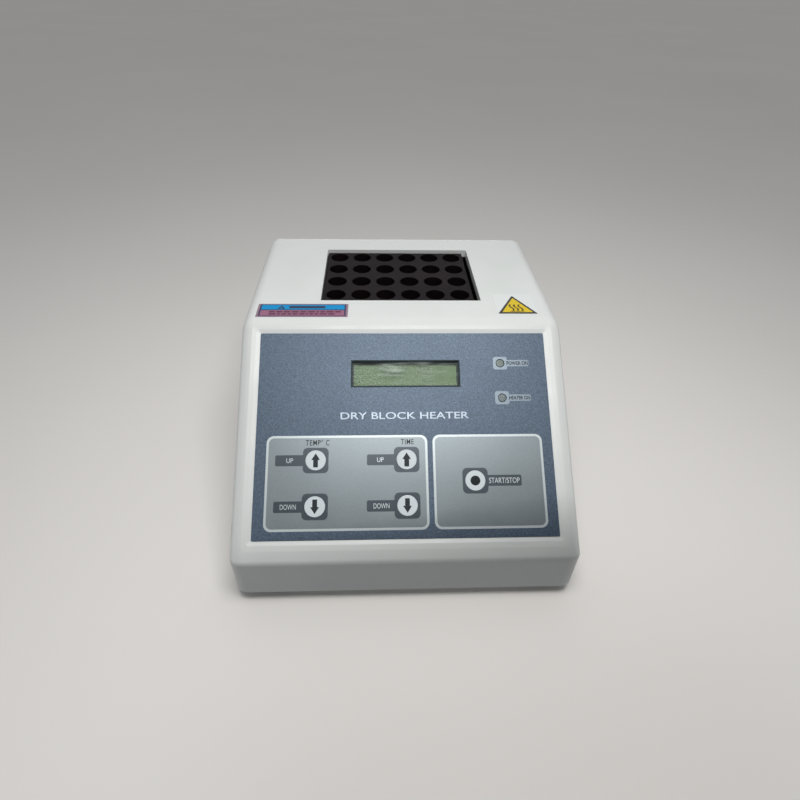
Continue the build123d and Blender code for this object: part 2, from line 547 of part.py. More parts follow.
def rocker_parts():
    face = REAR_Y + ROCKER_FLANGE
    frame = box((ROCKER_X - 6.4, ROCKER_X + 6.4), (face - 16, REAR_Y), (PANEL_Z - 9.5, PANEL_Z + 9.5))
    flange = Pos(ROCKER_X, REAR_Y, PANEL_Z) * extrude(
        Plane.XZ * RectangleRounded(15, 22, 1.5), amount=-ROCKER_FLANGE)
    frame += fillet(flange.faces().sort_by(Axis.Y)[-1].edges(), 0.5)
    frame -= box((ROCKER_X - 5.4, ROCKER_X + 5.4), (face - 12.5, face + 1),
                 (PANEL_Z - 8.6, PANEL_Z + 8.6))
    frame -= Pos(ROCKER_X, PIVOT_Y, PANEL_Z) * Rot(0, 90, 0) * Cylinder(1.05, 14)
    add("power_switch_frame", frame)
    add("power_switch_terminals", *[
        box((ROCKER_X - 2.4, ROCKER_X + 2.4), (face - 24, face - 16),
            (PANEL_Z + z - 0.4, PANEL_Z + z + 0.4)) for z in (-5, 5)])

    reach = 10.0
    rise = ROCKER_APEX + reach * tan(radians(ROCKER_FACE_SLOPE))
    above = Polyline((ROCKER_APEX, 0), (rise, reach), (2 * reach, reach), (2 * reach, -reach),
                     (rise, -reach), close=True)
    above = Pos(-reach, 0, 0) * extrude(Plane.YZ * make_face(above), amount=2 * reach)
    rocker = Rot(0, 90, 0) * Cylinder(ROCKER_RADIUS, ROCKER_WIDTH) - above
    rocker -= Pos(0, -5 - reach, 0) * Box(2 * reach, 2 * reach, 2 * reach)
    rocker += Rot(0, 90, 0) * Cylinder(1.0, ROCKER_WIDTH + 2)
    add("power_rocker", Pos(ROCKER_X, PIVOT_Y, PANEL_Z) * Rot(-ROCKER_TILT, 0, 0) * rocker)


SUPPLY_X, SUPPLY_Y, SUPPLY_Z = -27.0, -50.0, BASE_TOP_Z + 6.0
SUPPLY_TOP_Z = SUPPLY_Z + BOARD_THICKNESS
TERMINAL_X, TERMINAL_Y = -38.0, -28.0
HEADER_X, HEADER_Y = -40.0, -66.0
TERMINAL_PITCH, TERMINAL_BACK_Y, LEAD_Z = 8.0, TERMINAL_Y + 5.5, SUPPLY_TOP_Z + 5.0


def on_supply_board(x, y, width, depth, height):
    return centred_box(x, y, width, depth, SUPPLY_TOP_Z, SUPPLY_TOP_Z + height)


def supply_parts():
    board = centred_box(SUPPLY_X, SUPPLY_Y, 92, 60, SUPPLY_Z, SUPPLY_TOP_Z)
    pillars = []
    screws = [SLOPE * Pos(x, -d, BOARD_BACK_H) * pan_screw(8) for x, d in BOARD_BOSSES]
    for x, y in corners(42, 26, SUPPLY_X, SUPPLY_Y):
        board -= post(x, y, CLEAR_RADIUS, SUPPLY_Z - 1, SUPPLY_TOP_Z + 1)
        pillar = post(x, y, 3, BASE_TOP_Z, SUPPLY_Z)
        pillars.append(pillar - post(x, y, PILOT_RADIUS, BASE_TOP_Z + 1, SUPPLY_Z + 1))
        screws.append(Pos(x, y, SUPPLY_TOP_Z) * Rot(180, 0, 0) * pan_screw(6))
    add("supply_board", board)
    add("supply_board_pillars", *pillars)
    add("board_screws", *screws)

    add("relay", on_supply_board(-62, -52, 15.5, 19, 15.5))
    add("ribbon_connectors", on_supply_board(HEADER_X, HEADER_Y, 22, 7, 6),
        slope_box(*RIBBON_AT, 22, 8, BOARD_BACK_H - 6, BOARD_BACK_H))
    block = on_supply_board(TERMINAL_X, TERMINAL_Y, 5 * TERMINAL_PITCH, 11, 12)
    for i in range(5):
        x = TERMINAL_X + (i - 2) * TERMINAL_PITCH
        block -= rod_y(x, LEAD_Z, 1.8, TERMINAL_Y - 2, TERMINAL_BACK_Y + 1)
        block -= post(x, TERMINAL_Y - 2, 1.9, SUPPLY_TOP_Z + 9, SUPPLY_TOP_Z + 13)
    add("terminal_block", block)
    fins = on_supply_board(-8, -62, 36, 3, 24)
    for i in range(7):
        fins += on_supply_board(-24.5 + 5.5 * i, -67.5, 1.5, 9, 24)
    add("triac_heatsink", fins)
    add("triac", on_supply_board(-8, -58.25, 10, 4.5, 16))
    cans = [post(x, y, 5, SUPPLY_TOP_Z, SUPPLY_TOP_Z + 16) for x, y in ((-28, -48), (-16, -48))]
    cans = [fillet(can.edges().group_by(Axis.Z)[-1], 0.8) for can in cans]
    add("capacitors", *cans)


def transformer_parts():
    x, y, z = 50.0, -28.0, BASE_TOP_Z
    core = centred_box(x, y, 48, 18, z, z + 40)
    for side in (-12, 12):
        core -= centred_box(x + side, y, 8, 20, z + 8, z + 32)
    winding = centred_box(x, y, 31.6, 33, z + 8.2, z + 31.8)
    winding = fillet(winding.edges().filter_by(Axis.Z), 3)
    winding -= centred_box(x, y, 16.4, 18.4, z, z + 40)
    add("transformer_core", core)
    add("transformer_winding", winding)


def terminal(i):
    return (TERMINAL_X + (i - 2) * TERMINAL_PITCH, TERMINAL_BACK_Y, LEAD_Z)


def ahead_of_terminal(i, distance):
    x, y, z = terminal(i)
    return (x, y + distance, z)


def lead_parts():
    pins_y = REAR_Y + INLET_FLANGE - 32
    tabs_y = REAR_Y + ROCKER_FLANGE - 24
    upper, lower = PANEL_Z + 5, PANEL_Z - 5
    pin_z = SOCKET_Z - 2
    live = wire(1.1, (INLET_X - 7, pins_y, pin_z), (INLET_X - 7, pins_y - 14, pin_z),
                (INLET_X - 26, pins_y - 20, pin_z - 4), (ROCKER_X, pins_y - 8, lower),
                (ROCKER_X, tabs_y, lower))
    switched = wire(1.1, (ROCKER_X, tabs_y, upper), (ROCKER_X, tabs_y - 16, upper),
                    (-6, 40, upper - 2), (terminal(4)[0], 4, LEAD_Z + 4), ahead_of_terminal(4, 12),
                    terminal(4))
    neutral = wire(1.1, (INLET_X + 7, pins_y, pin_z), (INLET_X + 7, pins_y - 16, pin_z),
                   (40, 36, 18), (-10, 0, 18), (terminal(3)[0], -6, LEAD_Z - 1),
                   terminal(3))
    earth = wire(1.1, (INLET_X, pins_y, SOCKET_Z + 2), (INLET_X, pins_y - 12, SOCKET_Z + 2),
                 (INLET_X + 22, pins_y - 24, 30), (INLET_X + 24, pins_y - 26, 20),
                 (INLET_X + 24, pins_y - 26, BASE_TOP_Z))
    add("mains_leads", live, switched, neutral, earth)
    mat_z = TRAY_BOTTOM_Z - MAT_THICKNESS
    heater = []
    for i, x in ((1, -22.5), (2, -18.0)):
        heater.append(wire(1.0, (x, WELL_Y - 20, mat_z), (x, WELL_Y - 20, 38),
                           (x - 6, 8, 33), ahead_of_terminal(i, 12), terminal(i)))
    add("heater_leads", *heater)
    probe_x, probe_z = WELL_X - 68, TRAY_BOTTOM_Z + TRAY_FLOOR / 2
    add("probe_lead", wire(
        1.2, (probe_x, WELL_Y, probe_z), (probe_x - 10, WELL_Y, probe_z),
        (probe_x - 12, WELL_Y - 20, 42), (probe_x, 6, 32), ahead_of_terminal(0, 12), terminal(0)))

    socket = SLOPE * Pos(RIBBON_AT[0], -RIBBON_AT[1], BOARD_BACK_H - 6)
    leave = SLOPE * Pos(RIBBON_AT[0], -RIBBON_AT[1], BOARD_BACK_H - 16)
    points = [socket.position, leave.position,
              Vector(HEADER_X, HEADER_Y, SUPPLY_TOP_Z + 18), Vector(HEADER_X, HEADER_Y, SUPPLY_TOP_Z + 6)]
    path = FilletPolyline(*points, radius=[6, 6])
    start = Plane(origin=path @ 0, x_dir=(1, 0, 0), z_dir=path % 0)
    add("ribbon_cable", sweep(start * Rectangle(20, 0.9), path=path))


# ---------------------------------------------------------------- stickers
def sticker_parts():
    thickness = 0.15
    add("caution_sticker", centred_box(-60.6, CREASE_Y + 11.55, 54.8, 15.1, TOP_Z, TOP_Z + thickness))
    add("hot_surface_sticker", rounded_slab(70.9, CREASE_Y + 19.9, 24.6, 24.6, 1.2, TOP_Z,
                                            TOP_Z + thickness))
    add("rating_plate", box((-75, -15), (REAR_Y, REAR_Y + 0.3), (60, 88)))


# ---------------------------------------------------------------- the whole heater
def build():
    add("top_case", top_case())
    add("base_plate", base_plate())
    add("base_screws", *[Pos(x, y, BASE_Z) * pan_screw(10) for x, y in BASE_BOSSES])
    add("rubber_feet", *[Pos(x, y, 0) * foot() for x, y in FEET])
    add("foot_screws", *[Pos(x, y, 4) * pan_screw(10) for x, y in FEET])
    add("foot_nuts", *[Pos(x, y, BASE_TOP_Z) * hex_nut() for x, y in FEET])
    add("printed_panel", printed_panel())
    for name, at in KEYS.items():
        add(f"{name}_key", *key(*at))
    for name, at in LAMPS.items():
        add(name, lamp(*at))
    display_parts()
    control_board_parts()
    add("heating_block", heating_block())
    tray_parts()
    rear_panel_parts()
    inlet_parts()
    rocker_parts()
    supply_parts()
    transformer_parts()
    lead_parts()
    sticker_parts()


build()
os.makedirs("parts", exist_ok=True)
for name, shape in PARTS.items():
    export_step(shape, f"parts/{name}.step")
whole = Compound(list(PARTS.values())).bounding_box()
print(len(PARTS), "nodes from", whole.min, "to", whole.max)
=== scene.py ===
"""Looks of the dry block heater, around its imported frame. Metres, +Z up, +Y to the back."""

import json
import random
from math import cos, pi, radians, sin

import bpy
from mathutils import Matrix, Vector


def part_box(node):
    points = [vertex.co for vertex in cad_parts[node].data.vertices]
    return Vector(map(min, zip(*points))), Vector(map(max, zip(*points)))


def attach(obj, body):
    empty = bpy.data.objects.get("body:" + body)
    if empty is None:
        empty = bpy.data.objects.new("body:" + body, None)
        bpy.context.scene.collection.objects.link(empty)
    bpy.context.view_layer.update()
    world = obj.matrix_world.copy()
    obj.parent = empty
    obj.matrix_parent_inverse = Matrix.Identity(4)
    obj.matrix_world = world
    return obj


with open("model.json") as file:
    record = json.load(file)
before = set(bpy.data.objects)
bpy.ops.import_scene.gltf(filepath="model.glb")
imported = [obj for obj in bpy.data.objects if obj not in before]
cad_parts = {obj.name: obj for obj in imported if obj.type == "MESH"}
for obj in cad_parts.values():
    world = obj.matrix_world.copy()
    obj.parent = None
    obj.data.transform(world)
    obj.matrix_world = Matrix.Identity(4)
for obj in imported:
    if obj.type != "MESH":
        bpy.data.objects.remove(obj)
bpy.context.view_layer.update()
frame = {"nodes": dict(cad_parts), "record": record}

MM = 0.001
SLOPE_ANGLE = radians(36.0)  # of the printed panel, below the horizontal


# ---------------------------------------------------------------- materials
class Finish:
    """A node material with one Principled shader, its look made of patterns in object space."""

    def __init__(self, name, **constants):
        self.material = bpy.data.materials.new(name)
        self.material.use_nodes = True
        self.tree = self.material.node_tree
        self.shader = self.tree.nodes["Principled BSDF"]
        for socket, value in constants.items():
            self.shader.inputs[socket.replace("_", " ")].default_value = value
        self.place = self.node("ShaderNodeTexCoord").outputs["Object"]

    def node(self, kind, inputs=None, **settings):
        node = self.tree.nodes.new(kind)
        for setting, value in settings.items():
            setattr(node, setting, value)
        for socket, value in (inputs or {}).items():
            if isinstance(value, bpy.types.NodeSocket):
                self.tree.links.new(value, node.inputs[socket])
            else:
                node.inputs[socket].default_value = value
        return node

    def stretched(self, x, y, z, turn=0.0):
        """Object space scaled along each axis, after a turn about X."""
        turned = self.node("ShaderNodeMapping", {"Vector": self.place, "Rotation": (turn, 0, 0)})
        scaled = self.node("ShaderNodeMapping",
                           {"Vector": turned.outputs[0], "Scale": (x, y, z)})
        return scaled.outputs[0]

    def noise(self, size, detail=2.0, roughness=0.5, place=None):
        """Cloudy noise whose lumps are about size metres across."""
        made = self.node("ShaderNodeTexNoise", {
            "Vector": place or self.place, "Scale": 1.0 / size, "Detail": detail,
            "Roughness": roughness})
        return made.outputs["Fac"]

    def stripes(self, pitch, axis, profile="SIN"):
        """Bands pitch metres apart along an axis."""
        made = self.node("ShaderNodeTexWave", {"Vector": self.place, "Scale": pi / (10 * pitch)},
                         wave_type="BANDS", bands_direction=axis, wave_profile=profile)
        return made.outputs["Fac"]

    def ramp(self, factor, *stops):
        """Colour against a 0 to 1 factor, from (position, colour) stops."""
        made = self.node("ShaderNodeValToRGB", {"Fac": factor})
        elements = made.color_ramp.elements
        while len(elements) < len(stops):
            elements.new(0.5)
        for element, (position, colour) in zip(elements, stops):
            element.position = position
            element.color = (*colour, 1.0)
        return made.outputs["Color"]

    def span(self, factor, low, high, start=0.0, end=1.0):
        """A factor's start to end stretched to low to high."""
        made = self.node("ShaderNodeMapRange", {
            "Value": factor, "From Min": start, "From Max": end, "To Min": low, "To Max": high})
        return made.outputs["Result"]

    def mix(self, factor, under, over, blend="MIX"):
        """One colour over another, each a colour or a socket."""
        made = self.node("ShaderNodeMix", data_type="RGBA", blend_type=blend)
        for index, value in ((0, factor), (6, under), (7, over)):
            if isinstance(value, bpy.types.NodeSocket):
                self.tree.links.new(value, made.inputs[index])
            elif index:
                made.inputs[index].default_value = (*value, 1.0)
            else:
                made.inputs[index].default_value = value
        return made.outputs[2]

    def total(self, first, second, operation="ADD"):
        """The sum of two factors, or their product with MULTIPLY."""
        made = self.node("ShaderNodeMath", {0: first, 1: second}, operation=operation)
        return made.outputs[0]

    def set(self, socket, value):
        """Drives one of the shader's sockets."""
        self.tree.links.new(value, self.shader.inputs[socket])

    def bump(self, height, depth):
        """Relief depth metres deep."""
        made = self.node("ShaderNodeBump", {"Height": height, "Distance": depth})
        self.set("Normal", made.outputs["Normal"])


def shade(colour, factor):
    """A colour made lighter or darker."""
    return tuple(min(1.0, channel * factor) for channel in colour)


def moulded(name, colour, rough=0.4, grain=0.0006, relief=0.00001, spread=0.06):
    """Moulded plastic or rubber: a faint cloudy tone and a fine sparked grain."""
    made = Finish(name)
    cloud = made.noise(0.03, 3.0)
    made.set("Base Color", made.ramp(
        cloud, (0.3, shade(colour, 1 - spread)), (0.7, shade(colour, 1 + spread))))
    fine = made.noise(grain, 2.0)
    made.set("Roughness", made.span(fine, rough - 0.06, rough + 0.08, 0.3, 0.7))
    made.bump(fine, relief)
    return made.material


def metal(name, colour, rough=0.3, brush=(60.0, 4000.0, 4000.0)):
    """Bare or plated metal with fine streaks, longest along the axis with the least scale."""
    made = Finish(name, Metallic=1.0)
    streaks = made.noise(1.0, 3.0, 0.6, made.stretched(*brush))
    made.set("Base Color", made.ramp(
        streaks, (0.25, shade(colour, 0.9)), (0.75, shade(colour, 1.1))))
    made.set("Roughness", made.span(streaks, rough - 0.08, rough + 0.12, 0.3, 0.7))
    made.bump(streaks, 0.000004)
    return made.material


def coated(name, colour):
    """Powder coat: orange-peel relief over a plain paint colour."""
    made = Finish(name)
    peel = made.noise(0.0014, 2.0)
    made.set("Base Color", made.ramp(peel, (0.2, shade(colour, 0.92)), (0.8, shade(colour, 1.05))))
    made.set("Roughness", made.span(peel, 0.40, 0.53, 0.3, 0.7))
    made.bump(peel, 0.00003)
    return made.material


def case_plastic():
    """Off-white moulded plastic with faint clouds, a few specks, smears and a fine grain."""
    made = Finish("case_plastic", Specular_IOR_Level=0.45)
    cloud = made.noise(0.05, 4.0, 0.6)
    tone = made.ramp(cloud, (0.30, (0.740, 0.768, 0.752)), (0.70, (0.785, 0.808, 0.795)))
    specks = made.span(made.noise(0.0011, 1.0), 0.0, 0.35, 0.74, 0.80)
    made.set("Base Color", made.mix(specks, tone, (0.52, 0.49, 0.42)))
    smear = made.noise(0.018, 3.0, 0.6)
    fine = made.noise(0.0007, 2.0)
    made.set("Roughness", made.total(made.span(smear, 0.30, 0.42, 0.3, 0.7),
                                     made.span(fine, -0.03, 0.03, 0.3, 0.7)))
    made.bump(made.total(fine, made.total(cloud, 3.0, "MULTIPLY")), 0.000012)
    return made.material


GLOSS = {"IOR": 1.45, "Metallic": 0.25}  # of everything printed behind the panel's clear film


def film(name, colour, speckle, rough=0.46, gloss=GLOSS):
    """Metallic ink behind satin film: fine speckle, faint clouds."""
    made = Finish(name, **gloss)
    cloud = made.noise(0.03, 3.0)
    tone = made.ramp(cloud, (0.3, shade(colour, 0.97)), (0.7, shade(colour, 1.03)))
    grains = made.ramp(made.noise(0.00075, 1.5, 0.6), (0.36, (1 - speckle,) * 3),
                       (0.50, (1.0,) * 3), (0.64, (1 + 1.6 * speckle,) * 3))
    made.set("Base Color", made.mix(1.0, tone, grains, "MULTIPLY"))
    made.set("Roughness", made.span(cloud, rough - 0.02, rough + 0.02, 0.3, 0.7))
    made.bump(made.noise(0.0005, 1.0), 0.000005)
    return made.material


def ink(name, colour, rough=0.33, spread=0.06, **constants):
    """A solid printed ink, slightly uneven."""
    made = Finish(name, **constants)
    grain = made.noise(0.0006, 2.0)
    made.set("Base Color", made.ramp(
        grain, (0.3, shade(colour, 1 - spread)), (0.7, shade(colour, 1 + spread))))
    made.set("Roughness", made.span(grain, rough - 0.03, rough + 0.05, 0.3, 0.7))
    made.bump(grain, 0.000003)
    return made.material


def anodised_block():
    """Black anodising over fine milling lines, faded to brown in places."""
    made = Finish("block_anodised", Metallic=0.3, Specular_IOR_Level=0.15)
    cloud = made.noise(0.03, 3.0)
    lines = made.noise(1.0, 2.0, 0.5, made.stretched(40.0, 1400.0, 1400.0))
    tone = made.ramp(cloud, (0.35, (0.008, 0.006, 0.007)), (0.7, (0.015, 0.008, 0.011)))
    made.set("Base Color", made.mix(made.span(lines, 0.0, 0.5, 0.45, 0.75), tone,
                                    (0.019, 0.016, 0.018)))
    made.set("Roughness", made.span(lines, 0.38, 0.52, 0.3, 0.7))
    made.bump(lines, 0.000005)
    return made.material


def display_glass():
    """Reflective display: olive green with a faint grid of character cells."""
    made = Finish("lcd_green", Specular_IOR_Level=0.3)
    cloud = made.noise(0.012, 2.0)
    tone = made.ramp(cloud, (0.3, (0.072, 0.165, 0.042)), (0.7, (0.102, 0.210, 0.062)))
    columns = made.span(made.stripes(0.00355, "X"), 1.0, 0.0, 0.02, 0.12)
    made.set("Base Color", made.mix(made.total(columns, 0.12, "MULTIPLY"), tone,
                                    (0.12, 0.19, 0.08)))
    made.set("Roughness", made.span(cloud, 0.22, 0.34, 0.3, 0.7))
    made.bump(made.noise(0.0008, 1.0), 0.000002)
    return made.material


def smeared_glare_pane():
    """Clear acrylic with streaks in the middle where it has been wiped; their pale haze is a
    painted highlight.
    """
    made = Finish("display_pane", IOR=1.49, Specular_IOR_Level=0.22)
    streaks = made.noise(1.0, 1.0, 0.5, made.stretched(60.0, 600.0, 600.0, radians(12)))
    patch = made.span(made.noise(0.016, 1.0), 0.05, 1.0, 0.42, 0.66)
    smears_and_glare = made.total(made.span(streaks, 0.0, 1.0, 0.45, 0.80), patch, "MULTIPLY")
    # The wipe smears are real; their pale, part-opaque haze is painted highlight.
    made.set("Alpha", made.span(smears_and_glare, 0.03, 0.50))
    made.set("Base Color", made.ramp(smears_and_glare, (0.0, (0.30, 0.38, 0.36)), (0.6, (0.52, 0.64, 0.56))))
    made.set("Roughness", made.span(streaks, 0.25, 0.35, 0.3, 0.7))
    return made.material


def lens(name, colour):
    """A clouded plastic lens."""
    made = Finish(name, IOR=1.5, Subsurface_Weight=0.3, Subsurface_Radius=(0.001, 0.001, 0.001),
                  Subsurface_Scale=1.0)
    haze = made.noise(0.0012, 2.0)
    made.set("Base Color", made.ramp(haze, (0.3, shade(colour, 0.88)), (0.7, shade(colour, 1.1))))
    made.set("Roughness", made.span(haze, 0.22, 0.34, 0.3, 0.7))
    made.bump(haze, 0.00001)
    return made.material


def circuit_board():
    """Green solder resist with a grid of paler tracks."""
    made = Finish("circuit_board", Specular_IOR_Level=0.5)
    tracks = made.node("ShaderNodeTexBrick", {
        "Vector": made.place, "Scale": 130.0, "Mortar Size": 0.02,
        "Color1": (0.010, 0.085, 0.035, 1), "Color2": (0.012, 0.105, 0.045, 1),
        "Mortar": (0.03, 0.22, 0.09, 1)})
    made.set("Base Color", tracks.outputs["Color"])
    made.set("Roughness", made.span(made.noise(0.004), 0.25, 0.40, 0.3, 0.7))
    made.bump(tracks.outputs["Fac"], -0.00003)
    return made.material


def striped(name, light, dark, pitch, axis, relief, rough=0.5, profile="SIN"):
    """Laid or stacked material: ribbon wires, laminations, tape turns or cloth."""
    made = Finish(name)
    bands = made.stripes(pitch, axis, profile)
    cloud = made.noise(0.01, 2.0)
    tone = made.ramp(bands, (0.1, dark), (0.9, light))
    made.set("Base Color", made.mix(made.span(cloud, 0.0, 0.3, 0.3, 0.7), tone, shade(dark, 0.8)))
    made.set("Roughness", made.span(cloud, rough - 0.05, rough + 0.08, 0.3, 0.7))
    made.bump(bands, relief)
    return made.material


def woven(name, light, dark, pitch):
    """Glass cloth showing through silicone."""
    made = Finish(name)
    warp, weft = made.stripes(pitch, "X"), made.stripes(pitch, "Y")
    weave = made.total(warp, weft, "MULTIPLY")
    made.set("Base Color", made.ramp(weave, (0.1, dark), (0.8, light)))
    made.set("Roughness", made.span(weave, 0.55, 0.75))
    made.bump(weave, 0.00012)
    return made.material


def wool():
    """Pale matted fibres."""
    made = Finish("insulation_wool", Sheen_Weight=0.3)
    fibres = made.noise(1.0, 4.0, 0.7, made.stretched(900.0, 200.0, 900.0))
    made.set("Base Color", made.ramp(fibres, (0.3, (0.52, 0.49, 0.40)), (0.7, (0.78, 0.75, 0.66))))
    made.set("Roughness", made.span(fibres, 0.8, 0.95))
    made.bump(fibres, 0.0003)
    return made.material


FINISHES = {
    "case_plastic": case_plastic(),
    "base_steel": coated("base_steel", (0.50, 0.51, 0.49)),
    "foot_rubber": moulded("foot_rubber", (0.018, 0.018, 0.018), 0.7, 0.0008, 0.00004),
    "zinc_steel": metal("zinc_steel", (0.60, 0.61, 0.62), 0.3),
    "panel_print": film("panel_print", (0.084, 0.121, 0.172), 0.22),
    # Near-white key caps; their blue tint is painted glare.
    "key_cap": moulded("key_cap", (0.72, 0.79, 0.83), 0.42, 0.0005, 0.000006, 0.03),
    "power_lens": lens("power_lens", (0.082, 0.122, 0.112)),
    "heater_lens": lens("heater_lens", (0.085, 0.120, 0.135)),
    "display_pane": smeared_glare_pane(),
    # Dark display bezel; its teal tint is painted shade of the green display.
    "lcd_metal": moulded("lcd_metal", (0.018, 0.034, 0.032), 0.5),
    "lcd_green": display_glass(),
    "lcd_diffuser": moulded("lcd_diffuser", (0.70, 0.74, 0.66), 0.5),
    "circuit_board": circuit_board(),
    "chip_black": moulded("chip_black", (0.015, 0.015, 0.016), 0.55, 0.0003, 0.00002),
    "switch_black": moulded("switch_black", (0.02, 0.02, 0.02), 0.5),
    "block_anodised": anodised_block(),
    "tray_aluminium": metal("tray_aluminium", (0.020, 0.019, 0.020), 0.42, (800.0, 800.0, 40.0)),
    "gasket_silicone": moulded("gasket_silicone", (0.03, 0.03, 0.03), 0.6),
    "heater_silicone": woven("heater_silicone", (0.42, 0.10, 0.05), (0.20, 0.04, 0.02), 0.0012),
    "insulation_wool": wool(),
    "probe_steel": metal("probe_steel", (0.58, 0.58, 0.59), 0.25),
    "thermostat_body": moulded("thermostat_body", (0.08, 0.05, 0.03), 0.45),
    "panel_steel": metal("panel_steel", (0.50, 0.51, 0.52), 0.34, (30.0, 3500.0, 3500.0)),
    "inlet_black": moulded("inlet_black", (0.020, 0.020, 0.021), 0.45, 0.0004, 0.000012),
    "rocker_black": moulded("rocker_black", (0.012, 0.012, 0.013), 0.24, 0.001, 0.000004),
    "contact_brass": metal("contact_brass", (0.72, 0.60, 0.34), 0.28),
    "fuse_glass": metal("fuse_glass", (0.70, 0.72, 0.72), 0.18),
    "relay_case": moulded("relay_case", (0.02, 0.08, 0.30), 0.35),
    "terminal_green": moulded("terminal_green", (0.02, 0.16, 0.06), 0.4),
    "core_iron": striped("core_iron", (0.16, 0.16, 0.17), (0.05, 0.05, 0.055), 0.0006, "Y",
                         0.00008),
    "winding_tape": striped("winding_tape", (0.72, 0.55, 0.08), (0.50, 0.36, 0.05), 0.008, "Z",
                            0.00006, 0.3, "SAW"),
    "heatsink_aluminium": metal("heatsink_aluminium", (0.05, 0.05, 0.055), 0.45),
    "capacitor_sleeve": moulded("capacitor_sleeve", (0.015, 0.025, 0.09), 0.25),
    "lead_insulation": moulded("lead_insulation", (0.20, 0.08, 0.04), 0.4),
    "silicone_lead": moulded("silicone_lead", (0.66, 0.64, 0.60), 0.55),
    "ribbon_grey": striped("ribbon_grey", (0.36, 0.37, 0.39), (0.16, 0.17, 0.18), 0.00127, "X",
                           0.0002),
    "caution_print": ink("caution_print", (0.30, 0.19, 0.26), 0.3),
    "hot_print": ink("hot_print", (0.79, 0.82, 0.81), 0.3, 0.02),
    "rating_print": metal("rating_print", (0.62, 0.63, 0.63), 0.38, (3500.0, 3500.0, 40.0)),
}
# Every CAD node gets the finish that its record names
for subpart in frame["record"]["subparts"]:
    for slot in frame["nodes"][subpart["node"]].material_slots:
        slot.material = FINISHES[subpart["material_slot"]]

# Printing on the panel, and on the caution and hot-surface stickers
FIELD = film("field_silver", (0.248, 0.288, 0.308), 0.03, 0.37, {"IOR": 1.5, "Metallic": 0.4})
FIELD_EDGE = ink("field_edge", (0.62, 0.68, 0.70), **GLOSS)
KEY_SURROUND = ink("key_surround", (0.066, 0.086, 0.104), **GLOSS)
WHITE_INK = ink("white_ink", (0.66, 0.72, 0.75), **GLOSS)
LEGEND_INK = ink("legend_ink", (0.024, 0.032, 0.037), 0.5, Specular_IOR_Level=0.25)
DARK_INK = ink("dark_ink", (0.008, 0.012, 0.015), 0.5, Specular_IOR_Level=0.25)
# Painted shade: a dark teal ring round the display window's recessed edge.
DISPLAY_EDGE_SHADE = ink("display_edge_shade", (0.011, 0.028, 0.034), 0.5, Specular_IOR_Level=0.2)
LAMP_SURROUND = ink("lamp_surround", (0.200, 0.250, 0.300), **GLOSS)
LAMP_WORDS = ink("lamp_words", (0.022, 0.035, 0.050), 0.5, Specular_IOR_Level=0.2)
TITLE_INK = ink("title_ink", (0.38, 0.44, 0.51), **GLOSS)
CAUTION_BLUE = ink("caution_blue", (0.006, 0.285, 0.620), 0.45, Specular_IOR_Level=0.2)
CAUTION_LINE = ink("caution_line", (0.020, 0.030, 0.085), 0.3)
CAUTION_MAUVE = ink("caution_mauve", (0.330, 0.130, 0.215), 0.3)
CAUTION_WORDS = ink("caution_words", (0.075, 0.014, 0.040), 0.4)
HOT_YELLOW = ink("hot_yellow", (0.740, 0.540, 0.018), 0.45)
HOT_LINE = ink("hot_line", (0.040, 0.042, 0.040), 0.3)
HOT_MARK = ink("hot_mark", (0.090, 0.062, 0.005), 0.4)


# ---------------------------------------------------------------- printed shapes
INK = 0.02 * MM  # thickness of one printed layer


def rounded(width, height, radius, x=0.0, y=0.0, steps=8):
    """Points round a rectangle with round corners, centred on (x, y)."""
    points = []
    for corner, (sx, sy) in enumerate(((1, 1), (-1, 1), (-1, -1), (1, -1))):
        for step in range(steps + 1):
            angle = (corner + step / steps) * pi / 2
            points.append((x + sx * (width / 2 - radius) + radius * cos(angle),
                           y + sy * (height / 2 - radius) + radius * sin(angle)))
    return points


def circle(radius, x, y):
    """Points round a circle."""
    steps = 64
    return [(x + radius * cos(2 * pi * i / steps), y + radius * sin(2 * pi * i / steps))
            for i in range(steps)]


def finish_piece(mesh, name, place, material, body):
    """Puts a mesh in its place as one piece that rides on a body."""
    mesh.transform(place)
    mesh.materials.clear()
    mesh.materials.append(material)
    piece = bpy.data.objects.new(name, mesh)
    bpy.context.scene.collection.objects.link(piece)
    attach(piece, body)


def as_mesh(curve, name):
    """The mesh of a curve or text."""
    holder = bpy.data.objects.new(name, curve)
    bpy.context.scene.collection.objects.link(holder)
    bpy.context.view_layer.update()
    mesh = bpy.data.meshes.new_from_object(
        holder.evaluated_get(bpy.context.evaluated_depsgraph_get()))
    bpy.data.objects.remove(holder)
    return mesh


def printed(name, loops, place, material, body="case", layer=0):
    """One inked shape in millimetres on a surface, its loops filled even-odd."""
    curve = bpy.data.curves.new(name, "CURVE")
    curve.dimensions = "2D"
    curve.fill_mode = "BOTH"
    curve.extrude = INK / 2
    for loop in loops:
        spline = curve.splines.new("POLY")
        spline.points.add(len(loop) - 1)
        for point, (x, y) in zip(spline.points, loop):
            point.co = (x * MM, y * MM, 0, 1)
        spline.use_cyclic_u = True
    lift = Matrix.Translation((0, 0, INK * (layer + 0.5)))
    finish_piece(as_mesh(curve, name), name, place @ lift, material, body)


